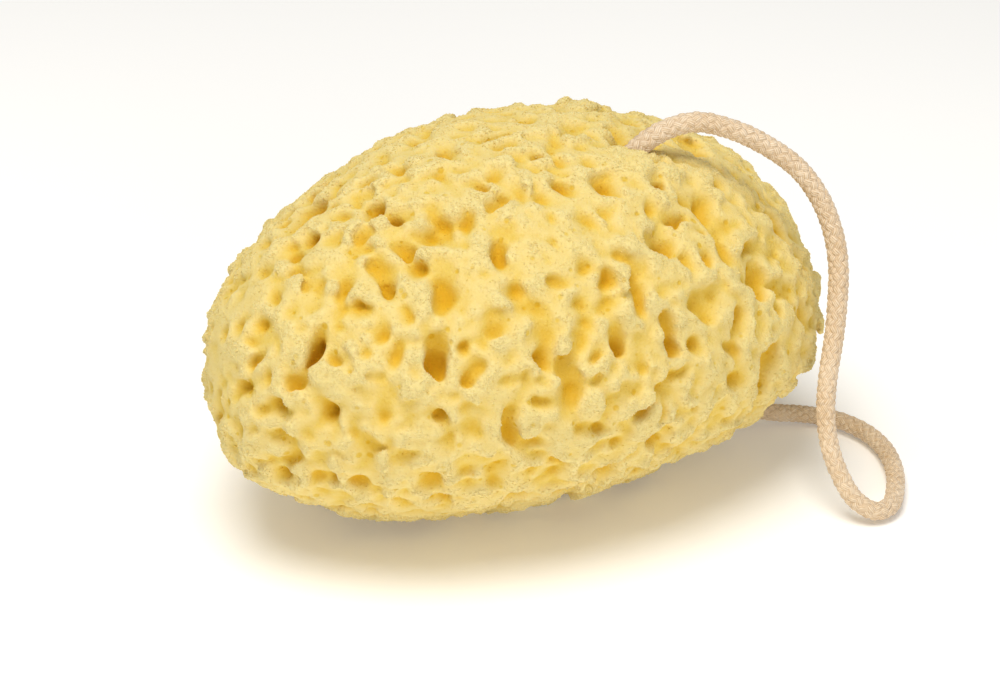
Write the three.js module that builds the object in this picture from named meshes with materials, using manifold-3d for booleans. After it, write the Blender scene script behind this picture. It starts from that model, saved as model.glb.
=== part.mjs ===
// Bath sponge: one oval block of porous sponge with a braided cotton cord looped through it.
// Millimetres, +Z up, origin at the middle of the flat underside, +X along the longest side.

import * as THREE from 'three';
import { mergeVertices } from 'three/addons/utils/BufferGeometryUtils.js';
import Module from 'manifold-3d';

const wasm = await Module();
wasm.setup();

// Driving dimensions of the sponge: an ellipsoid whose underside is pressed flat.
const HALF_LENGTH = 73.5;
const HALF_WIDTH = 51.5;
const HALF_HEIGHT = 42;
const PRESSED_FLAT = 4;
const MIDDLE = new THREE.Vector3(0.4, 0, HALF_HEIGHT - PRESSED_FLAT);
const ROUND_SEGMENTS = 44;
const HEIGHT_SEGMENTS = 26;

// Swells and hollows that take the block away from a true ellipsoid.
// Each is [azimuth, elevation, rise as a share of the radius, sharpness].
const SWELLS = [
  [76, 60, 0.03, 6],
  [-18, 12, -0.025, 10],
  [-45, -20, 0.07, 10],
  [-77, -45, -0.025, 8],
  [-115, -50, -0.05, 8],
  [180, -26, 0.035, 10],
  [160, 0, -0.025, 10],
  [137, 31, -0.025, 8],
  [110, 50, -0.02, 8],
];

// The largest pores. Each is [azimuth, elevation, width round the block, height, depth].
const PORES = [
  [-156, 23, 5, 9, 9],
  [-130, 24, 6.5, 8.5, 9],
  [-112, 23, 7.5, 12, 7],
  [-97, 21, 5, 7, 8],
  [-86, 15, 4.5, 8, 7],
  [-59, 21, 9.5, 13, 6],
  [-120, 49, 5, 9, 6],
  [-148, 41, 4.5, 8, 6],
  [-132, 40, 6.5, 10, 6],
  [-90, 28, 4, 9, 5],
  [-115, 37, 6.5, 8, 4],
  [-106, 8, 5.5, 14, 4],
  [-73, 8, 6.5, 8, 5],
  [-63, -9, 8.5, 14, 4.5],
  [-78, 42, 6.5, 5, 5],
  [-151, 74, 7.5, 6, 4],
  [-160, -8, 5.5, 5.5, 6],
  [-153, -15, 6, 6.5, 5],
  [-119, -18, 4.5, 6, 5],
  [-20, -10, 6, 8, 6],
  [12, 20, 7, 6, 6],
  [35, -5, 6, 9, 6],
  [58, 30, 7, 7, 6],
  [85, 5, 6, 9, 7],
  [110, 28, 8, 6, 6],
  [128, -12, 6, 7, 5],
  [150, 12, 5, 8, 6],
  [60, 62, 6, 7, 5],
];

// The cord: braided cotton, one loop. It goes into the top of the sponge, comes out underneath, lies
// on the ground in a hairpin, climbs past the end of the sponge and arches back to the top.
const CORD_DIAMETER = 4.5;
const CORD_SIDES = 8;
const CORD_STEPS = 64;
const CORD_ROUTE = [
  [16, -16.5, 60],
  [15.2, -16.4, 67],
  [17, -16.2, 73],
  [21.5, -16, 76.6],
  [28, -17.4, 79.6],
  [34, -20.4, 80.6],
  [41, -24.3, 78.2],
  [47, -27.8, 74.4],
  [52.2, -31.2, 69.6],
  [55.6, -34.4, 63.6],
  [57.2, -37.4, 56.8],
  [57, -40.2, 49.6],
  [54.8, -43, 42.4],
  [51.8, -45.8, 35.6],
  [48.6, -48.2, 29],
  [46, -50.8, 22.2],
  [44.6, -54, 16],
  [44.6, -57.6, 10.4],
  [45.8, -61.4, 5.6],
  [49, -64.4, 2.9],
  [54, -64, 2.5],
  [60, -59, 2.5],
  [66, -52, 2.5],
  [70.8, -43.5, 2.5],
  [72.8, -34.8, 2.5],
  [71.6, -26.4, 2.5],
  [67.2, -20, 2.5],
  [61.2, -16.4, 3.2],
  [54.6, -14.2, 5.6],
  [48.8, -13.2, 10],
  [43, -13.4, 17.4],
  [36, -14.3, 28],
  [28, -15.2, 39.6],
  [20.8, -16, 50],
  [17, -16.4, 57.6],
];

// The tunnel that the cord was pulled through runs between the two mouths in the skin.
const TUNNEL_PLAY = 0.5;
const TUNNEL_STEPS = 30;
const TUNNEL_ROUTE = [...CORD_ROUTE.slice(-8), ...CORD_ROUTE.slice(0, 5)];

function direction(azimuth, elevation) {
  const a = THREE.MathUtils.degToRad(azimuth);
  const e = THREE.MathUtils.degToRad(elevation);
  return new THREE.Vector3(Math.cos(e) * Math.cos(a), Math.cos(e) * Math.sin(a), Math.sin(e));
}

// The point of the sponge's outer skin that lies towards a direction on the unit sphere.
function skinPoint(towards) {
  let radius = 1;
  for (const [azimuth, elevation, rise, sharpness] of SWELLS) {
    radius += rise * Math.exp(sharpness * (towards.dot(direction(azimuth, elevation)) - 1));
  }
  const axes = new THREE.Vector3(HALF_LENGTH, HALF_WIDTH, HALF_HEIGHT);
  return towards.clone().multiply(axes).multiplyScalar(radius).add(MIDDLE);
}

function toSolid(geometry) {
  const bare = geometry.clone();
  bare.deleteAttribute('normal');
  bare.deleteAttribute('uv');
  const welded = mergeVertices(bare, 1e-4);
  return new wasm.Manifold(new wasm.Mesh({
    numProp: 3,
    vertProperties: new Float32Array(welded.attributes.position.array),
    triVerts: new Uint32Array(welded.index.array),
  }));
}

function toGeometry(solid) {
  const mesh = solid.getMesh();
  const geometry = new THREE.BufferGeometry();
  geometry.setAttribute('position', new THREE.BufferAttribute(mesh.vertProperties, 3));
  geometry.setIndex(new THREE.BufferAttribute(mesh.triVerts, 1));
  geometry.computeVertexNormals();
  return geometry;
}

// A closed round tube along a smooth curve through the route's points.
function tube(route, diameter, sides, steps) {
  const section = new THREE.Shape().absarc(0, 0, diameter / 2, 0, 2 * Math.PI);
  const path = new THREE.CatmullRomCurve3(route.map((p) => new THREE.Vector3(...p)));
  const settings = { steps, curveSegments: sides / 2, bevelEnabled: false, extrudePath: path };
  return new THREE.ExtrudeGeometry(section, settings);
}

// The block without its pores: a sphere whose points are moved out to the skin.
function blockGeometry() {
  const block = new THREE.SphereGeometry(1, ROUND_SEGMENTS, HEIGHT_SEGMENTS).rotateX(Math.PI / 2);
  const points = block.attributes.position;
  for (let i = 0; i < points.count; i += 1) {
    const towards = new THREE.Vector3().fromBufferAttribute(points, i).normalize();
    points.setXYZ(i, ...skinPoint(towards));
  }
  return block;
}

// What is pressed away under the block, so that it rests on a flat face.
function groundGeometry() {
  const depth = 20;
  return new THREE.BoxGeometry(4 * HALF_LENGTH, 4 * HALF_WIDTH, depth).translate(0, 0, -depth / 2);
}

// One pore: an egg-shaped hollow with its middle on the skin, pointing into the block.
function poreGeometry([azimuth, elevation, width, height, depth]) {
  const at = skinPoint(direction(azimuth, elevation));
  const outward = at.clone().sub(MIDDLE)
    .divide(new THREE.Vector3(HALF_LENGTH ** 2, HALF_WIDTH ** 2, HALF_HEIGHT ** 2)).normalize();
  const across = new THREE.Vector3(0, 0, 1).cross(outward).normalize();
  const along = outward.clone().cross(across);
  const frame = new THREE.Matrix4().makeBasis(across, along, outward).setPosition(at);
  return new THREE.IcosahedronGeometry(1, 2).scale(width / 2, height / 2, depth).applyMatrix4(frame);
}

function makeSponge() {
  let solid = toSolid(blockGeometry()).subtract(toSolid(groundGeometry()));
  for (const pore of PORES) {
    solid = solid.subtract(toSolid(poreGeometry(pore)));
  }
  const bore = CORD_DIAMETER + 2 * TUNNEL_PLAY;
  solid = solid.subtract(toSolid(tube(TUNNEL_ROUTE, bore, CORD_SIDES, TUNNEL_STEPS)));
  const foam = new THREE.MeshStandardMaterial({ color: 0xecd488, roughness: 0.95, metalness: 0 });
  const sponge = new THREE.Mesh(toGeometry(solid), foam);
  sponge.name = 'sponge';
  return sponge;
}

function makeCord() {
  const cotton = new THREE.MeshStandardMaterial({ color: 0xdfc9ae, roughness: 0.9, metalness: 0 });
  const cord = new THREE.Mesh(tube(CORD_ROUTE, CORD_DIAMETER, CORD_SIDES, CORD_STEPS), cotton);
  cord.name = 'cord';
  return cord;
}

const bathSponge = new THREE.Group();
bathSponge.add(makeSponge(), makeCord());

export default bathSponge;
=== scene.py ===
import math

import bpy
import numpy as np
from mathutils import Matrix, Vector


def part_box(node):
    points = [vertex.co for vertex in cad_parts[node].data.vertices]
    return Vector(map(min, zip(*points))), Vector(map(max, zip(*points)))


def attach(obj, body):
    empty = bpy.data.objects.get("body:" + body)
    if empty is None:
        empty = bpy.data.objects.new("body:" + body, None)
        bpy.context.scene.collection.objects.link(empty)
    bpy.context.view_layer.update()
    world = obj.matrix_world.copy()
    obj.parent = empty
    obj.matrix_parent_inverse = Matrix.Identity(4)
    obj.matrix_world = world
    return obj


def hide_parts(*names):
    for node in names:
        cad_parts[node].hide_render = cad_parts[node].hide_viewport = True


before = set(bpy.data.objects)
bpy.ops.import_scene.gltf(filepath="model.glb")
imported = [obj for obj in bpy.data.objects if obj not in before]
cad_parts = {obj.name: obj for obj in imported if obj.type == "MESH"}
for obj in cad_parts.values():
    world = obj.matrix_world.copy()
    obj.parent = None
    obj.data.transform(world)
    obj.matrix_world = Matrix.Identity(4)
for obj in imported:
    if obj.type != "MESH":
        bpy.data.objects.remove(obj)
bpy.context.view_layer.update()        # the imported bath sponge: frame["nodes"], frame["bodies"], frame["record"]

MM = 0.001


# ---- Camera -------------------------------------------------------------------------------------
# A long lens at table height, looking slightly down on the sponge's long front side. The cord's end
# of the sponge is the one that is turned away.

AIM = Vector((-2.3, 1.0, 32.3)) * MM
AIM_AZIMUTH = -35.0
AIM_ELEVATION = 25.0
AIM_DISTANCE = 600.0 * MM
LENS = 100.0
FILM_WIDTH = 36.0


def place_camera():
    azimuth = math.radians(AIM_AZIMUTH)
    elevation = math.radians(AIM_ELEVATION)
    towards = Vector((
        math.sin(azimuth) * math.cos(elevation),
        -math.cos(azimuth) * math.cos(elevation),
        math.sin(elevation),
    ))
    camera = bpy.data.objects.new("camera", bpy.data.cameras.new("camera"))
    camera.data.lens = LENS
    camera.data.sensor_width = FILM_WIDTH
    camera.data.clip_start = 10 * MM
    camera.location = AIM + AIM_DISTANCE * towards
    camera.rotation_euler = towards.to_track_quat("Z", "Y").to_euler()
    bpy.context.collection.objects.link(camera)
    bpy.context.scene.camera = camera


place_camera()


# ---- Cord ---------------------------------------------------------------------------------------
# A hollow round braid of undyed cotton, 12 strands, each a soft bundle of a few yarns. It is pulled
# through the sponge and joined inside it, so that it makes one hanging loop. Sizes in millimetres.

CORD_DIAMETER = 4.5
CORD_ROUTE = [
    (16, -16.5, 60), (15.2, -16.4, 67), (17, -16.2, 73), (21.5, -16, 76.6), (28, -17.4, 79.6),
    (34, -20.4, 80.6), (41, -24.3, 78.2), (47, -27.8, 74.4), (52.2, -31.2, 69.6),
    (55.6, -34.4, 63.6), (57.2, -37.4, 56.8), (57, -40.2, 49.6), (54.8, -43, 42.4),
    (51.8, -45.8, 35.6), (48.6, -48.2, 29), (46, -50.8, 22.2), (44.6, -54, 16),
    (44.6, -57.6, 10.4), (45.8, -61.4, 5.6), (49, -64.4, 2.9), (54, -64, 2.5), (60, -59, 2.5),
    (66, -52, 2.5), (70.8, -43.5, 2.5), (72.8, -34.8, 2.5), (71.6, -26.4, 2.5),
    (67.2, -20, 2.5), (61.2, -16.4, 3.2), (54.6, -14.2, 5.6), (48.8, -13.2, 10),
    (43, -13.4, 17.4), (36, -14.3, 28), (28, -15.2, 39.6), (20.8, -16, 50), (17, -16.4, 57.6),
]

# Where the cord hangs slack the braid draws in a little: share of the length, girth.
SLACK = [(0.0, 1.0), (0.3, 1.0), (0.46, 0.9), (0.8, 0.9), (1.0, 1.0)]

STRANDS = 12
STRAND_TURN = 17.0   # length of cord in which a strand goes once round
STRAND_MIDDLE = 1.5  # from the cord's middle line to a strand's
STRAND_DIP = 0.3     # how far a strand rises and dips as it goes over one and under the next
STRAND_WIDTH = 1.75
STRAND_THICKNESS = 1.0
STRAND_WANDER = 0.05 # how far a strand strays from its even turn, in radians
STRAND_UNEVEN = 0.05 # how much its girth comes and goes
STRAND_SIDES = 10
STRAND_STEP = 0.4
STRAND_SHIFT = 37.0  # gives each strand its own stretch of the yarn pattern
YARNS_ACROSS = 4


def linear(hex_colour):
    """An sRGB hex colour as linear RGBA."""
    parts = [int(hex_colour[i:i + 2], 16) / 255 for i in (1, 3, 5)]
    return (*((c / 12.92 if c <= 0.04045 else ((c + 0.055) / 1.055) ** 2.4) for c in parts), 1.0)


def add_node(tree, kind, settings=None, **links):
    """Adds a node, sets its properties, and fills its inputs with values or links."""
    node = tree.nodes.new(kind)
    for name, value in (settings or {}).items():
        setattr(node, name, value)
    for name, value in links.items():
        key = int(name[1:]) if name[1:].isdigit() else name.replace("_", " ")
        socket = node.inputs[key]
        if isinstance(value, bpy.types.NodeSocket):
            tree.links.new(value, socket)
        else:
            socket.default_value = value
    return node


def new_material(name):
    """An empty material with its shader joined to the output."""
    material = bpy.data.materials.new(name)
    material.use_nodes = True
    tree = material.node_tree
    tree.nodes.clear()
    shader = add_node(tree, "ShaderNodeBsdfPrincipled")
    add_node(tree, "ShaderNodeOutputMaterial", Surface=shader.outputs["BSDF"])
    return material, tree, shader


def colour_ramp(tree, factor, stops):
    """Colours given as (place, hex), blended smoothly along a factor."""
    ramp = add_node(tree, "ShaderNodeValToRGB", Fac=factor)
    elements = ramp.color_ramp.elements
    while len(elements) < len(stops):
        elements.new(0.5)
    for element, (place, colour) in zip(elements, stops):
        element.position = place
        element.color = linear(colour)
    return ramp.outputs["Color"]


def new_mesh_object(name, points, faces, material):
    """A smooth-shaded object from points in millimetres and an array of faces."""
    mesh = bpy.data.meshes.new(name)
    corners = faces.shape[1]
    mesh.vertices.add(len(points))
    mesh.vertices.foreach_set("co", np.ascontiguousarray(points * MM, np.float32).ravel())
    mesh.loops.add(faces.size)
    mesh.loops.foreach_set("vertex_index", np.ascontiguousarray(faces, np.int32).ravel())
    mesh.polygons.add(len(faces))
    mesh.polygons.foreach_set("loop_start", np.arange(0, faces.size, corners, dtype=np.int32))
    mesh.polygons.foreach_set("loop_total", np.full(len(faces), corners, np.int32))
    mesh.polygons.foreach_set("use_smooth", np.ones(len(faces), bool))
    mesh.update(calc_edges=True)
    mesh.validate()
    mesh.materials.append(material)
    piece = bpy.data.objects.new(name, mesh)
    bpy.context.collection.objects.link(piece)
    return piece


def smooth_line(route, step):
    """Points a fixed step apart on a smooth curve through the route's points."""
    p = np.array(route, float)
    p = np.vstack([2 * p[0] - p[1], p, 2 * p[-1] - p[-2]])
    t = np.linspace(0, 1, 24, endpoint=False)[:, None]
    pieces = []
    for a, b, c, d in zip(p, p[1:], p[2:], p[3:]):
        pieces.append(0.5 * (2 * b + (c - a) * t + (2 * a - 5 * b + 4 * c - d) * t ** 2
                             + (3 * b - a - 3 * c + d) * t ** 3))
    fine = np.vstack([*pieces, p[-2:-1]])
    along = np.concatenate([[0], np.cumsum(np.linalg.norm(np.diff(fine, axis=0), axis=1))])
    even = np.linspace(0, along[-1], int(along[-1] / step) + 1)
    return np.stack([np.interp(even, along, fine[:, i]) for i in range(3)], 1)


def frames_along(line):
    """Unit tangents and two side directions that don't twist along a line."""
    tangent = np.gradient(line, axis=0)
    tangent /= np.linalg.norm(tangent, axis=1)[:, None]
    side = np.zeros_like(line)
    start = np.cross(tangent[0], (0.0, 1.0, 0.0))
    side[0] = start / np.linalg.norm(start)
    for i in range(1, len(line)):
        turned = side[i - 1] - tangent[i] * (side[i - 1] @ tangent[i])
        side[i] = turned / np.linalg.norm(turned)
    return tangent, side, np.cross(tangent, side)


def braid(line):
    """The strands of the braid as closed tubes, with each point's place on its own strand."""
    tangent, side, up = frames_along(line)
    along = np.arange(len(line)) * np.linalg.norm(line[1] - line[0])
    turn = 2 * math.pi / STRAND_TURN
    half = STRANDS // 2
    girth = np.interp(along / along[-1], *zip(*SLACK))
    ring = np.arange(STRAND_SIDES) / STRAND_SIDES * 2 * math.pi
    points, faces, places = [], [], []
    for strand in range(STRANDS):
        index, hand = strand % half, 1 if strand < half else -1
        met = 2 * index + hand * half * turn / math.pi * along
        over = hand * np.cos(math.pi * met)
        angle = hand * turn * along + 2 * math.pi * index / half
        angle = angle + STRAND_WANDER * np.sin(along * 0.37 + strand * 1.3)
        plump = 0.94 + 0.1 * over + STRAND_UNEVEN * np.sin(along * 0.9 + strand * 2.1)
        radius = girth * (STRAND_MIDDLE + STRAND_DIP * over)
        out = np.cos(angle)[:, None] * side + np.sin(angle)[:, None] * up
        middle = line + radius[:, None] * out
        ahead = np.gradient(middle, axis=0)
        ahead /= np.linalg.norm(ahead, axis=1)[:, None]
        across = np.cross(out, ahead)
        across /= np.linalg.norm(across, axis=1)[:, None]
        lift = np.cross(ahead, across)
        size = (0.5 * girth * plump)[:, None, None]
        body = (middle[:, None]
                + size * STRAND_WIDTH * np.cos(ring)[None, :, None] * across[:, None]
                + size * STRAND_THICKNESS * np.sin(ring)[None, :, None] * lift[:, None])
        first = sum(len(p) for p in points)
        rows, sides = len(line), STRAND_SIDES
        i, j = np.meshgrid(np.arange(rows - 1), np.arange(sides), indexing="ij")
        a, b = first + i * sides + j, first + i * sides + (j + 1) % sides
        faces.append(np.stack([a, b, b + sides, a + sides], -1).reshape(-1, 4))
        points.append(body.reshape(-1, 3))
        place = [along[:, None] + STRAND_SHIFT * strand, np.cos(ring), np.sin(ring)]
        place = np.stack([np.broadcast_to(p, (rows, sides)) for p in place], -1)
        places.append(place.reshape(-1, 3))
    return np.vstack(points), np.vstack(faces), np.vstack(places)


def cotton():
    """Undyed cotton, loosely spun: matt, soft at the edges, with fine yarns along each strand."""
    material, tree, shader = new_material("undyed braided cotton")
    place = add_node(tree, "ShaderNodeAttribute", {"attribute_name": "strand_place"})
    # Yarns are about 0.25 mm thick and much longer than that, so the noise is stretched lengthways.
    stretched = add_node(tree, "ShaderNodeVectorMath", {"operation": "MULTIPLY"},
                         i0=place.outputs["Vector"], i1=(0.7, 1.9, 1.9))
    yarns = add_node(tree, "ShaderNodeTexNoise", Vector=stretched.outputs[0], Scale=1.6,
                     Detail=3.0, Roughness=0.6)
    where = add_node(tree, "ShaderNodeTexCoord")
    blotch = add_node(tree, "ShaderNodeTexNoise", Vector=where.outputs["Object"], Scale=150.0,
                      Detail=2.0)
    # The yarns lie side by side across the strand.
    parts = add_node(tree, "ShaderNodeSeparateXYZ", Vector=place.outputs["Vector"])
    spread = add_node(tree, "ShaderNodeMath", {"operation": "MULTIPLY"},
                      i0=parts.outputs["Y"], i1=math.pi * YARNS_ACROSS)
    ridges = add_node(tree, "ShaderNodeMath", {"operation": "COSINE"}, i0=spread.outputs[0])
    raised = add_node(tree, "ShaderNodeMath", {"operation": "MULTIPLY_ADD"},
                      i0=ridges.outputs[0], i1=0.14, i2=yarns.outputs["Fac"])
    yarn_shade_and_blotch = add_node(tree, "ShaderNodeMath", {"operation": "MULTIPLY_ADD"},
                     i0=blotch.outputs["Fac"], i1=0.4, i2=raised.outputs[0])
    # The colour follows the yarn height, darker down between the yarns: painted shade; the blotches vary the tone
    # at random.
    colour = colour_ramp(tree, yarn_shade_and_blotch.outputs[0], [
        (0.42, "#C2A37C"), (0.66, "#DAC09E"), (0.9, "#EBD9C0")])
    tree.links.new(colour, shader.inputs["Base Color"])
    bump = add_node(tree, "ShaderNodeBump", Height=raised.outputs[0], Strength=0.8,
                    Distance=0.2 * MM)
    tree.links.new(bump.outputs["Normal"], shader.inputs["Normal"])
    shader.inputs["Roughness"].default_value = 0.85
    shader.inputs["Specular IOR Level"].default_value = 0.2
    shader.inputs["Sheen Weight"].default_value = 0.25
    shader.inputs["Sheen Roughness"].default_value = 0.5
    return material


def make_cord():
    line = smooth_line(CORD_ROUTE, STRAND_STEP)
    points, faces, places = braid(line)
    cord = new_mesh_object("cotton_cord", points, faces, cotton())
    held = cord.data.attributes.new("strand_place", "FLOAT_VECTOR", "POINT")
    held.data.foreach_set("vector", places.astype(np.float32).ravel())
    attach(cord, "root")
    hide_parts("cord")


make_cord()


# ---- Sponge -------------------------------------------------------------------------------------
# One oval block of dry sponge, soft and full of pores of every size, from a few that would take a
# fingertip down to cells like fine grit. Its own weight has pressed the underside flat.

HALF_AXES = np.array([73.5, 51.5, 42.0])
PRESSED_FLAT = 4.0   # how much of the ellipsoid the table takes off
MIDDLE = np.array([0.4, 0.0, HALF_AXES[2] - PRESSED_FLAT])
SKIN_INSET = 0.3     # keeps the rough skin near the plain solid's
VOXEL = 0.62
MARGIN = 2.5         # of empty grid round the block
MOST_TRIANGLES = 196_000

# Swells and hollows that take the block away from a true ellipsoid:
# azimuth, elevation, rise as a share of the radius, sharpness.
SWELLS = [
    (76, 60, 0.03, 6), (-18, 12, -0.025, 10), (-45, -20, 0.07, 10), (-77, -45, -0.025, 8),
    (-115, -50, -0.05, 8), (180, -26, 0.035, 10), (160, 0, -0.025, 10), (137, 31, -0.025, 8),
    (110, 50, -0.02, 8),
]

# The foam stands up a little in front of the cord where it comes out of the top.
MOUTH_LIP = (16.5, -21.0, 73.0)
LIP_RISE = 3.4
LIP_REACH = 4.6

# The pores that give this sponge its face: azimuth, elevation, width, height, depth, lean.
PORES = [
    (-156, 23, 5, 9, 9, 10), (-151, 22, 4, 5, 4, 0), (-130, 24, 6.5, 8.5, 9, 15),
    (-123, 18, 7, 4, 4, -35), (-112, 23, 7.5, 12, 7, 0), (-97, 21, 5, 7, 8, 0),
    (-86, 15, 4.5, 8, 7, 0), (-59, 21, 9.5, 13, 6, 30), (-120, 49, 5, 9, 6, 20),
    (-148, 41, 4.5, 8, 6, -25), (-132, 40, 6.5, 10, 6, 0), (-90, 28, 4, 9.5, 5, 20),
    (-99, 43, 4, 4, 4, 0), (-115, 37, 6.5, 8, 4, 0), (-106, 40, 6, 4.5, 4, 0),
    (-119, 28, 7, 6, 3, 0), (-106, 8, 5, 15, 4, 0), (-73, 8, 6.5, 8, 5, 0),
    (-70, 16, 4, 5, 4, 0), (-73, 1, 3.5, 4.5, 4, 0), (-63, -9, 8.5, 14, 4.5, 0),
    (-78, 42, 6.5, 5, 5, 0), (-72, 33, 3.5, 5.5, 4, 35), (-64, 33, 3.5, 10, 4, 40),
    (-69, 47, 8, 3.5, 4, 0), (-62, 56, 5.5, 3.5, 4, 0), (-151, 74, 7.5, 6, 4, 30),
    (-158, 58, 6.5, 4, 4, 30), (-147, 50, 5.5, 4, 3.5, 20), (-163, 50, 4.5, 4.5, 3, 0),
    (-156, 37, 4, 9, 4, -15), (-143, 29, 3.5, 5, 4, 0), (-139, 22, 3, 5, 4, 0),
    (-138, 7, 3.5, 4, 4.5, 0), (-130, 5, 2.4, 5, 3.5, 0), (-145, 3, 3, 3.5, 3.5, 0),
    (-115, 5, 6.5, 4, 4, 0), (-170, 18, 3.5, 6, 4.5, 0), (-165, 13, 3, 5, 4, 0),
    (-160, -8, 5.5, 5.5, 6, 0), (-153, -15, 6, 6.5, 5, 0), (-123, -13, 4.5, 5, 4, 0),
    (-119, -18, 4.5, 6, 5, 0), (-101, -9, 2.6, 3, 4, 0), (-106, -13, 3, 4, 3, 0),
    (-98, 0, 3, 5, 4, 0), (-93, 10, 2.6, 5.5, 3, 0), (-81, -11, 2, 4.5, 3, 0),
    (-74, -10, 2.8, 3.5, 3.5, 0),
]

# Pores that are strewn over the rest: how many, widths from and to, depth as a share of width.
STREWN = [
    (70, 4.4, 6.6, 0.7),
    (420, 2.9, 4.8, 0.6),
    (1500, 1.7, 2.8, 0.55),
]
TRIES = 12           # for each strewn pore
LEAST_GAP = 0.32     # between a strewn pore and the next, as a share of its width

# A pore is a deep core under a wide, shallow flare: half sizes as shares of width, height, depth.
CORE = np.array([0.48, 0.44, 0.95])
FLARE = np.array([0.64, 0.62, 0.42])
CHOSEN_SLOPE = 0.7   # the chosen pores run down into the block; the strewn ones vary
CHOSEN_EDGE = 0.7    # how rounded the rims are
STREWN_EDGE = 0.6
FLARE_EDGE = 0.8     # more, round a flare

# Hollows between the pores: size, how ragged, threshold, how deep they go before they close.
HOLLOWS = [
    (5.0, 0.35, 1.15, 0.4),
    (3.0, 0.4, 0.75, 0.2),
    (1.8, 0.2, 0.6, 0.1),
]
HOLLOW_RISE = 0.6    # how fast a hollow deepens, as a share of its size
ROOFLESS = 6.0       # this near to the skin, hollows are drawn out towards it
DRAWN_OUT = 0.85

# Noise that shapes the foam: size of the bumps and how far they reach.
LUMPS = [(8.0, 0.28), (3.6, 0.28)]
BENDS = [(5.0, 0.8), (2.4, 0.35)]
FRAYS = [(3.0, 0.36), (1.15, 0.3)]
FINE, FINE_FRAY, FINE_ROUGH = 1.5, 0.46, 0.24
FINEST, FINEST_ROUGH = 1.15, 0.3
ROUGH_PATCHES = 10.0     # the skin is rougher here and smoother there, over about this far

# Foam with less than this share of foam within reach of it has worn off.
THINNEST_SHARE = 0.28
WEAR_REACH = 1.2
WEAR_DEPTH = 4

CORD_PLAY = 0.25     # between the cord and the hole it goes through
CLEAR_LEVEL = 1.12   # past this level the cord is clear of the foam

# Painted shade in the pores, how deep their colour is: on open skin, for each millimetre down, and for being shut
# in by walls.
PAINTED_SHADE_OPEN, PAINTED_SHADE_DOWN, PAINTED_SHADE_SHUT_IN = 0.14, 0.06, 1.15
DEEPEST_PAINTED_SHADE = 9.0
WALLS_REACH = 1.6

CRUMBS = 24_500      # torn bits of cell wall in each of two sets, eight triangles a crumb
CRUMB_REACH = (0.1, 0.36)
CRUMB_SINK = 0.04


def direction(azimuth, elevation):
    a, e = math.radians(azimuth), math.radians(elevation)
    return np.array([math.cos(e) * math.cos(a), math.cos(e) * math.sin(a), math.sin(e)])


def skin_level(points):
    """How far out points lie: 1 on the block's skin, less inside."""
    scaled = (points - MIDDLE) / HALF_AXES
    out = np.maximum(np.linalg.norm(scaled, axis=-1), 1e-6)
    radius = np.ones_like(out)
    for azimuth, elevation, rise, sharpness in SWELLS:
        towards = scaled @ direction(azimuth, elevation) / out
        radius += rise * np.exp(sharpness * (towards - 1))
    return out / radius


def skin_point(towards):
    """The point of the skin in a direction, and the outward normal there."""
    point = MIDDLE + towards * HALF_AXES / skin_level(MIDDLE + towards * HALF_AXES)
    outward = (point - MIDDLE) / HALF_AXES ** 2
    return point, outward / np.linalg.norm(outward)


def spline_weights(count, start, step, size):
    """Rows that blend a lattice's values into smooth values at evenly spaced places."""
    at = start + step * np.arange(count) / size
    cell = np.floor(at).astype(int)
    t = at - cell
    rows = np.zeros((count, cell.max() + 4), np.float32)
    blend = [(1 - t) ** 3 / 6, (3 * t ** 3 - 6 * t ** 2 + 4) / 6,
             (-3 * t ** 3 + 3 * t ** 2 + 3 * t + 1) / 6, t ** 3 / 6]
    for k, weight in enumerate(blend):
        rows[np.arange(count), cell + k] = weight
    return rows


class Block:
    """The grid of points that the sponge is worked out on, and the noise that breaks it up."""

    def __init__(self, low, high, seed):
        self.low = np.array(low, float)
        self.counts = np.ceil((np.array(high) - low) / VOXEL).astype(int) + 1
        self.axes = [self.low[i] + VOXEL * np.arange(self.counts[i]) for i in range(3)]
        self.random = np.random.default_rng(seed)

    def points(self, part=(slice(None),) * 3):
        grid = np.meshgrid(*(axis[s] for axis, s in zip(self.axes, part)), indexing="ij")
        return np.stack(grid, -1).astype(np.float32)

    def part(self, centre, reach):
        """The slices of the grid within reach of a point."""
        first = np.floor((centre - reach - self.low) / VOXEL).astype(int)
        last = np.ceil((centre + reach - self.low) / VOXEL).astype(int) + 1
        return tuple(slice(max(a, 0), max(b, 0)) for a, b in zip(first, last))

    def noise(self, size):
        """Smooth noise of unit spread whose bumps are about this many millimetres across."""
        rows = [spline_weights(n, 0.0, VOXEL, size) for n in self.counts]
        values = self.random.standard_normal([r.shape[1] for r in rows]).astype(np.float32)
        for row in rows:
            values = np.tensordot(values, row, axes=(0, 1))
        return values / values.std()


def smooth_max(a, b, width):
    """The larger of two fields, with a rounded edge where they meet."""
    h = np.maximum(width - np.abs(a - b), 0) / width
    return np.maximum(a, b) + h * h * width / 4


def swell_at(field, block, centre, reach):
    """Raises a field towards 1 around a point."""
    part = block.part(centre, 3 * reach)
    away = ((block.points(part) - centre) ** 2).sum(-1)
    field[part] = np.maximum(field[part], np.exp(-away / (2 * reach ** 2)))


def cut_egg(field, block, bend, centre, sides, half, edge):
    """Cuts one egg-shaped hollow out of the field, bent out of true, with a rounded rim."""
    part = block.part(centre, half.max() + 3.0)
    local = (block.points(part) - centre + bend[part][..., :3]) @ sides.T / half
    near = np.linalg.norm(local, axis=-1)
    steep = np.maximum(np.linalg.norm(local / half, axis=-1), 1e-6)
    hollow = (near * (near - 1) / steep).astype(np.float32) + bend[part][..., 3]
    field[part] = smooth_max(field[part], -hollow, edge)


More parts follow.
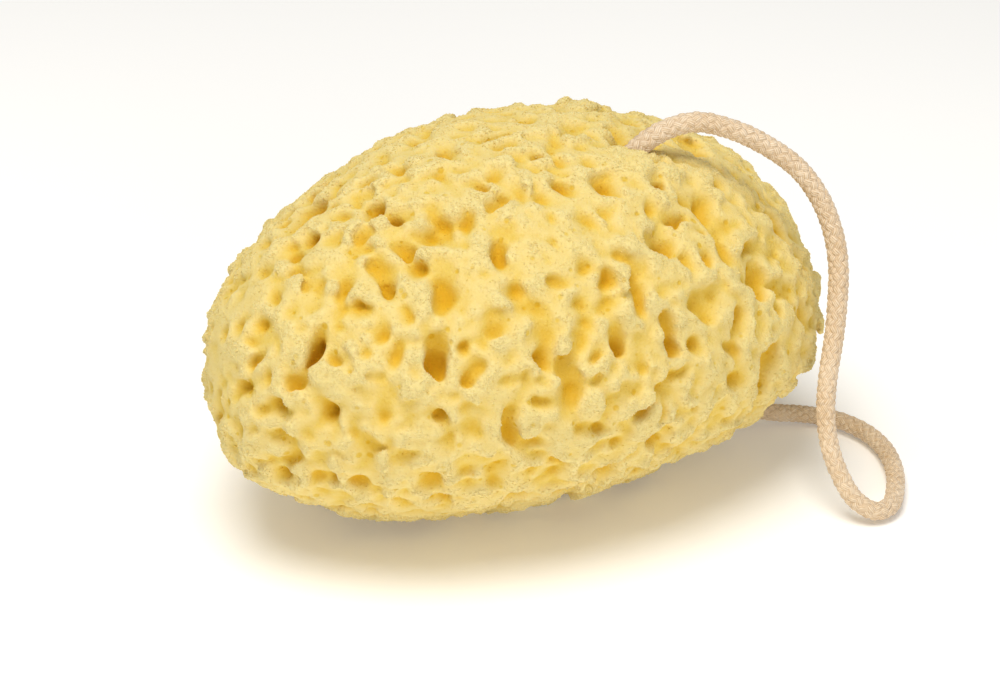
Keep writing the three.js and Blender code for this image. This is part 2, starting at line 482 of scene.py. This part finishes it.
def cut_pore(field, block, bend, pore, edge):
    """One pore: a deep core that slopes down into the block, under a wider, shallow flare."""
    towards, width, height, depth, lean, slope = pore
    centre, outward = skin_point(towards)
    axis = outward + np.array([0.0, 0.0, slope])
    axis /= np.linalg.norm(axis)
    across = np.cross((0.0, 0.0, 1.0), axis)
    across /= max(np.linalg.norm(across), 1e-6)
    along = np.cross(axis, across)
    turn = math.radians(lean)
    sides = np.array([math.cos(turn) * across - math.sin(turn) * along,
                      math.sin(turn) * across + math.cos(turn) * along, axis])
    size = np.array([width, height, depth])
    mouth = centre + 0.12 * height * sides[1] + 0.1 * depth * axis
    cut_egg(field, block, bend, mouth, sides, FLARE * size, edge + FLARE_EDGE)
    cut_egg(field, block, bend, centre - 0.08 * height * sides[1], sides, CORE * size, edge)


def strewn_pores(random):
    """Random pores over the whole block, kept off the chosen ones and off each other."""
    places = [skin_point(direction(p[0], p[1]))[0] for p in PORES] + [np.array(MOUTH_LIP)]
    sizes = [math.sqrt(p[2] * p[3]) / 2 for p in PORES] + [LIP_REACH]
    pores = []
    for count, least, most, share in STREWN:
        made, tries = 0, 0
        while made < count and tries < TRIES * count:
            tries += 1
            towards = random.standard_normal(3)
            towards /= np.linalg.norm(towards)
            place = skin_point(towards)[0]
            size = least + (most - least) * random.random() ** 1.6
            gaps = np.linalg.norm(np.array(places) - place, axis=1) - np.array(sizes)
            if gaps.min() < LEAST_GAP * size:
                continue
            places.append(place)
            sizes.append(size / 2)
            stretch = math.exp(random.normal(0, 0.22))
            depth = size * share * random.uniform(0.7, 1.35)
            pores.append((towards, size / stretch, size * stretch, depth,
                          random.uniform(-40, 40), random.uniform(0.1, 1.0)))
            made += 1
    return pores


def surface_of(field, block):
    """The surface where the field is zero, as points in millimetres and four-cornered faces."""
    cells = np.array(field.shape) - 1
    total, hits = np.zeros((3, cells.prod())), np.zeros(cells.prod())
    quads = []
    for axis in range(3):
        b, c = (axis + 1) % 3, (axis + 2) % 3
        lower = np.take(field, range(cells[axis]), axis)
        upper = np.take(field, range(1, cells[axis] + 1), axis)
        edges = np.argwhere((lower < 0) != (upper < 0))
        edges = edges[(edges[:, [b, c]] > 0).all(1) & (edges[:, [b, c]] < cells[[b, c]]).all(1)]
        lo, hi = lower[tuple(edges.T)], upper[tuple(edges.T)]
        place = edges.astype(float)
        place[:, axis] += lo / (lo - hi)
        corners = []
        for back_b, back_c in ((0, 0), (1, 0), (1, 1), (0, 1)):
            cell = edges.copy()
            cell[:, b] -= back_b
            cell[:, c] -= back_c
            flat = np.ravel_multi_index(cell.T, cells)
            corners.append(flat)
            hits += np.bincount(flat, minlength=len(hits))
            for k in range(3):
                total[k] += np.bincount(flat, place[:, k], minlength=len(hits))
        quad = np.stack(corners, 1)
        quad[lo >= 0] = quad[lo >= 0][:, ::-1]
        quads.append(quad)
    used = np.flatnonzero(hits)
    number = np.full(len(hits), -1)
    number[used] = np.arange(len(used))
    points = (total[:, used] / hits[used]).T * VOXEL + block.low
    return points, number[np.vstack(quads)]


def largest_piece(points, faces):
    """Leaves out crumbs that aren't joined to the rest."""
    label = np.arange(len(points))
    while True:
        lowest = label[faces].min(1)
        new = label.copy()
        for k in range(faces.shape[1]):
            np.minimum.at(new, faces[:, k], lowest)
        new = new[new]
        if (new == label).all():
            break
        label = new
    main = np.bincount(label).argmax()
    kept = faces[label[faces[:, 0]] == main]
    used, kept = np.unique(kept, return_inverse=True)
    return points[used], kept.reshape(-1, faces.shape[1])


def blur(values, reach):
    """Averages a field over about this many millimetres each way."""
    n = max(1, round(reach / VOXEL))
    for axis in (0, 0, 1, 1, 2, 2):
        ends = [(n + 1, 0) if i == axis else (0, 0) for i in range(3)]
        after = [(0, n) if i == axis else (0, 0) for i in range(3)]
        total = np.pad(np.pad(values, ends, "edge"), after, "edge").cumsum(axis)
        count = values.shape[axis]
        values = (np.take(total, range(2 * n + 1, 2 * n + 1 + count), axis)
                  - np.take(total, range(count), axis)) / (2 * n + 1)
    return values


def value_at(field, block, points):
    """A field's values at any points in the block, blended between its grid points."""
    at = np.clip((points - block.low) / VOXEL, 0, np.array(field.shape) - 1.001)
    cell = at.astype(int)
    t = at - cell
    found = np.zeros(len(points))
    for corner in np.ndindex(2, 2, 2):
        weight = np.where(corner, t, 1 - t).prod(1)
        found += weight * field[tuple((cell + corner).T)]
    return found


def filled(field):
    """How full of sponge each grid point's cell is, 0 to 1."""
    return np.clip(0.5 - field / VOXEL, 0, 1)


def soften(field):
    """Wears off walls and tips too thin to stand, then blurs lightly."""
    worn = THINNEST_SHARE - blur(filled(field), WEAR_REACH)
    field = np.maximum(field, WEAR_DEPTH * worn.astype(np.float32))
    for axis in range(3):
        field = 0.5 * field + 0.25 * (np.roll(field, 1, axis) + np.roll(field, -1, axis))
    return field


def sponge_field(block):
    """Negative inside the sponge, in millimetres."""
    grid = block.points()
    level = skin_level(grid)
    slope = np.sqrt(sum(g ** 2 for g in np.gradient(level, VOXEL)))
    plain = ((level - 1) / np.maximum(slope, 1e-3)).astype(np.float32) + SKIN_INSET
    calm = np.zeros_like(plain)
    swell_at(calm, block, np.array(MOUTH_LIP), LIP_REACH)
    plain -= LIP_RISE * calm
    for azimuth, elevation, width, height, *_ in PORES:
        centre = skin_point(direction(azimuth, elevation))[0]
        swell_at(calm, block, centre, 0.4 * math.sqrt(width * height))
    field = plain
    for size, rise in LUMPS:
        field = field + rise * block.noise(size)
    # Irregular hollows of three sizes, where smooth noise passes a threshold. Near the skin the noise
    # is drawn out towards it, so that no hollow has a roof.
    fine = block.noise(FINE)
    near = np.abs(plain) < ROOFLESS
    skinward = MIDDLE + (grid[near] - MIDDLE) / level[near][:, None]
    skinward = grid[near] + DRAWN_OUT * (skinward - grid[near])
    for size, frayed, least, deepest in HOLLOWS:
        hollow = block.noise(size) + frayed * (block.noise(0.45 * size) + 0.5 * fine) - least
        hollow[near] = value_at(hollow, block, skinward)
        hollow = HOLLOW_RISE * size * (hollow - 2 * calm) - np.maximum(-plain - deepest, 0)
        field = smooth_max(field, hollow, 0.25 * size)
    # Three channels bend the pores; the fourth frays their rims near the skin.
    bend = [sum(rise * block.noise(size) for size, rise in BENDS) for _ in range(3)]
    fray = FINE_FRAY * fine
    for size, rise in FRAYS:
        fray = fray + rise * block.noise(size)
    fray *= np.clip(1 + plain / 3.5, 0.15, 1)
    bend = np.stack([*bend, fray], -1)
    random = np.random.default_rng(23)
    for azimuth, elevation, width, height, depth, lean in PORES:
        pore = (direction(azimuth, elevation), width, height, depth, lean, CHOSEN_SLOPE)
        cut_pore(field, block, bend, pore, CHOSEN_EDGE)
    for pore in strewn_pores(random):
        cut_pore(field, block, bend, pore, STREWN_EDGE)
    # The skin is rough in patches; the walls of the pores are smoother.
    rough = np.clip(0.5 + 0.5 * block.noise(ROUGH_PATCHES), 0.2, 1.2)
    rough = rough * np.clip(1 + plain / 3, 0.2, 1)
    field += rough * (FINE_ROUGH * fine + FINEST_ROUGH * block.noise(FINEST))
    return smooth_max(soften(field), -grid[..., 2], 1.0)


def thread_tunnel(field, block):
    """Opens the way that the cord takes through the sponge."""
    line = smooth_line(CORD_ROUTE, 1.0)
    for at in line:
        if skin_level(at) > CLEAR_LEVEL:
            continue
        part = block.part(at, CORD_DIAMETER)
        away = np.linalg.norm(block.points(part) - at, axis=-1)
        clear = CORD_DIAMETER / 2 + CORD_PLAY - away
        field[part] = np.maximum(field[part], clear.astype(np.float32))


def sponge_flesh(name, soak):
    """Dry sponge: matt and cellular; light soaks in a little, and the pores and pinholes are painted a deeper,
    darker yellow: painted shade.
    """
    material, tree, shader = new_material(name)
    # The painted shade kept on each point of the sponge.
    depth = add_node(tree, "ShaderNodeAttribute", {"attribute_name": "painted_pore_shade"})
    where = add_node(tree, "ShaderNodeTexCoord")
    # The finest cells are about 0.5 mm across; torn cell walls stand between them on the skin.
    cells = add_node(tree, "ShaderNodeTexVoronoi", {"feature": "F1"},
                     Vector=where.outputs["Object"], Scale=1 / (0.55 * MM), Randomness=1.0)
    grit = add_node(tree, "ShaderNodeTexNoise", Vector=where.outputs["Object"],
                    Scale=1 / (0.9 * MM), Detail=4.0, Roughness=0.7)
    blotch = add_node(tree, "ShaderNodeTexNoise", Vector=where.outputs["Object"],
                      Scale=1 / (14 * MM), Detail=3.0)
    # Pinholes up to 1.5 mm across, in about half of the cells of a coarser pattern; they are dented with the bump
    # and painted darker as painted shade.
    holes = add_node(tree, "ShaderNodeTexVoronoi", {"feature": "F1"},
                     Vector=where.outputs["Object"], Scale=1 / (2.3 * MM), Randomness=1.0)
    picked = add_node(tree, "ShaderNodeSeparateColor", Color=holes.outputs["Color"])
    reach = add_node(tree, "ShaderNodeMapRange", i0=picked.outputs["Red"], i1=0.5, i2=1.0,
                     i3=0.0, i4=0.38)
    inside = add_node(tree, "ShaderNodeMath", {"operation": "SUBTRACT"},
                      i0=reach.outputs[0], i1=holes.outputs["Distance"])
    pinhole = add_node(tree, "ShaderNodeMapRange", i0=inside.outputs[0], i1=0.0, i2=0.16)
    painted_shade_with_pinholes = add_node(tree, "ShaderNodeMath", {"operation": "MULTIPLY_ADD"},
                       i0=pinhole.outputs[0], i1=0.22, i2=depth.outputs["Fac"])
    grit_and_painted_shade = add_node(tree, "ShaderNodeMath", {"operation": "MULTIPLY_ADD"},
                     i0=grit.outputs["Fac"], i1=0.2, i2=painted_shade_with_pinholes.outputs[0])
    tone_and_painted_shade = add_node(tree, "ShaderNodeMath", {"operation": "MULTIPLY_ADD"},
                      i0=blotch.outputs["Fac"], i1=0.1, i2=grit_and_painted_shade.outputs[0])
    # The colour deepens with the painted shade of pores and pinholes; grit and blotches vary the tone at random.
    colour = colour_ramp(tree, tone_and_painted_shade.outputs[0], [
        (0.16, "#E5D290"), (0.34, "#E3CB80"), (0.48, "#DFC264"), (0.62, "#D9B446"),
        (0.8, "#D4A82A"), (1.0, "#CA9C1A")])
    tree.links.new(colour, shader.inputs["Base Color"])
    pitted = add_node(tree, "ShaderNodeMath", {"operation": "MULTIPLY_ADD"},
                      i0=pinhole.outputs[0], i1=-1.2, i2=grit.outputs["Fac"])
    rough = add_node(tree, "ShaderNodeMath", {"operation": "MULTIPLY_ADD"},
                     i0=cells.outputs["Distance"], i1=-0.8, i2=pitted.outputs[0])
    # The walls of a pore are smoother than the torn skin.
    torn = add_node(tree, "ShaderNodeMapRange", i0=depth.outputs["Fac"], i1=0.2, i2=0.6,
                    i3=0.5, i4=0.35)
    bump = add_node(tree, "ShaderNodeBump", Height=rough.outputs[0],
                    Strength=torn.outputs[0], Distance=0.35 * MM)
    tree.links.new(bump.outputs["Normal"], shader.inputs["Normal"])
    shader.inputs["Roughness"].default_value = 0.9
    shader.inputs["Specular IOR Level"].default_value = 0.15
    shader.inputs["Subsurface Weight"].default_value = soak
    shader.inputs["Subsurface Radius"].default_value = (1.0, 0.85, 0.6)
    shader.inputs["Subsurface Scale"].default_value = 0.9 * MM
    return material


def hold_painted_shade(mesh, painted_shade):
    """Keeps the painted shade of each point, by how shut in it is: 0 on open skin to 1 deep in a pore, for the
    material.
    """
    held = mesh.attributes.new("painted_pore_shade", "FLOAT", "POINT")
    held.data.foreach_set("value", np.clip(painted_shade, 0, 1).astype(np.float32))


def make_crumbs(name, points, faces, painted_shade, material, random):
    """Torn cell walls: small crumbs half sunk in the skin, most of them on rims and open skin."""
    a, b, c = (points[faces[:, k]] for k in range(3))
    normal = np.cross(b - a, c - a)
    area = np.linalg.norm(normal, axis=1)
    rim = np.clip(1.0 - 6.0 * painted_shade[faces].mean(1), 0.04, 1)
    chance = area * rim * (a[:, 2] > 1.0)
    chosen = random.choice(len(faces), CRUMBS, p=chance / chance.sum())
    u, v = random.random((2, CRUMBS, 1))
    flip = u + v > 1
    u, v = np.where(flip, 1 - u, u), np.where(flip, 1 - v, v)
    a, b, c = a[chosen], b[chosen], c[chosen]
    at = a + u * (b - a) + v * (c - a)
    outward = normal[chosen] / np.maximum(area[chosen], 1e-9)[:, None]
    # Each crumb is an uneven eight-sided grain, turned at random.
    turned = np.linalg.qr(random.standard_normal((CRUMBS, 3, 3)))[0]
    turned[np.linalg.det(turned) < 0, 0] *= -1
    ends = np.array([(1, 0, 0), (-1, 0, 0), (0, 1, 0), (0, -1, 0), (0, 0, 1), (0, 0, -1)], float)
    reach = random.uniform(*CRUMB_REACH, (CRUMBS, 6, 1))
    body = (ends * reach) @ turned + (at - CRUMB_SINK * outward)[:, None]
    corners = np.array([(0, 2, 4), (2, 1, 4), (1, 3, 4), (3, 0, 4),
                        (2, 0, 5), (1, 2, 5), (3, 1, 5), (0, 3, 5)])
    triangles = (corners + 6 * np.arange(CRUMBS)[:, None, None]).reshape(-1, 3)
    crumbs = new_mesh_object(name, body.reshape(-1, 3), triangles, material)
    crumbs.data.shade_flat()
    # Each crumb takes the painted shade of the skin it sits on, a little lighter, with a random tone.
    around = painted_shade[faces[chosen]].mean(1) + 0.02 + 0.04 * random.standard_normal(CRUMBS)
    hold_painted_shade(crumbs.data, np.repeat(around, 6))
    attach(crumbs, "root")
    return crumbs


def make_sponge():
    low, high = (np.array(corner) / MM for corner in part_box("sponge"))
    block = Block(low - MARGIN, high + MARGIN, seed=11)
    field = sponge_field(block)
    thread_tunnel(field, block)
    points, faces = largest_piece(*surface_of(field, block))
    sponge = new_mesh_object("bath_sponge", points, faces,
                             sponge_flesh("dry open-cell sponge", 0.5))
    fewer = sponge.modifiers.new("fewer", "DECIMATE")
    fewer.ratio = min(1.0, MOST_TRIANGLES / (2 * len(faces)))
    slim = bpy.data.meshes.new_from_object(
        sponge.evaluated_get(bpy.context.evaluated_depsgraph_get()))
    sponge.modifiers.clear()
    sponge.data = slim
    found = np.empty(len(slim.vertices) * 3, np.float32)
    slim.vertices.foreach_get("co", found)
    at = found.reshape(-1, 3) / MM
    # Painted shade: the colour deepens the further a point lies below the plain skin and the more foam walls it
    # in.
    deep = (1 - skin_level(at)) * np.linalg.norm(at - MIDDLE, axis=1)
    walled = value_at(blur(filled(field), WALLS_REACH), block, at) - 0.5
    painted_shade = PAINTED_SHADE_OPEN + PAINTED_SHADE_DOWN * np.clip(deep, 0, DEEPEST_PAINTED_SHADE) + PAINTED_SHADE_SHUT_IN * walled
    hold_painted_shade(slim, painted_shade)
    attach(sponge, "root")
    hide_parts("sponge")
    slim.calc_loop_triangles()
    corners = np.empty(len(slim.loop_triangles) * 3, np.int32)
    slim.loop_triangles.foreach_get("vertices", corners)
    # The crumbs are too small for light to soak into.
    torn = sponge_flesh("torn cell walls", 0.0)
    random = np.random.default_rng(5)
    for name in ("torn_walls_a", "torn_walls_b"):
        make_crumbs(name, at, corners.reshape(-1, 3), painted_shade, torn, random)


make_sponge()


# ---- Table and light ----------------------------------------------------------------------------
# A plain white table that runs out of sight. One broad soft light stands overhead, a weaker one low
# down in front, and all round is white, so that the shadow is short and soft.

def matt_white():
    """Plain white card."""
    material, tree, shader = new_material("white card")
    shader.inputs["Base Color"].default_value = linear("#FFFEFC")
    shader.inputs["Emission Color"].default_value = linear("#FFFFFF")
    shader.inputs["Emission Strength"].default_value = 0.1
    shader.inputs["Roughness"].default_value = 0.9
    shader.inputs["Specular IOR Level"].default_value = 0.1
    return material


def make_table():
    reach, drop = 3.0 / MM, 0.02
    corners = np.array([(-1, -1), (1, -1), (1, 1), (-1, 1)]) * reach
    points = np.column_stack([corners, np.full(4, -drop)])
    table = new_mesh_object("table", points, np.array([[0, 1, 2, 3]]), matt_white())


def soft_light(name, at, size, watts):
    lamp = bpy.data.lights.new(name, "AREA")
    lamp.shape = "DISK"
    lamp.size = size
    lamp.energy = watts
    lamp.color = linear("#FFFDF8")[:3]
    holder = bpy.data.objects.new(name, lamp)
    holder.location = at
    holder.rotation_euler = Vector(at).to_track_quat("Z", "Y").to_euler()
    bpy.context.collection.objects.link(holder)


def light_scene():
    world = bpy.data.worlds.new("white room")
    bpy.context.scene.world = world
    world.use_nodes = True
    around = world.node_tree.nodes["Background"]
    around.inputs["Color"].default_value = linear("#FFFFFF")
    around.inputs["Strength"].default_value = 0.34
    soft_light("overhead", at=(-0.25, -0.12, 1.0), size=0.68, watts=8.4)
    soft_light("front", at=(-0.3, -0.85, 0.22), size=0.4, watts=2.3)
    view = bpy.context.scene.view_settings
    view.view_transform = "Standard"
    view.look = "None"


make_table()
light_scene()
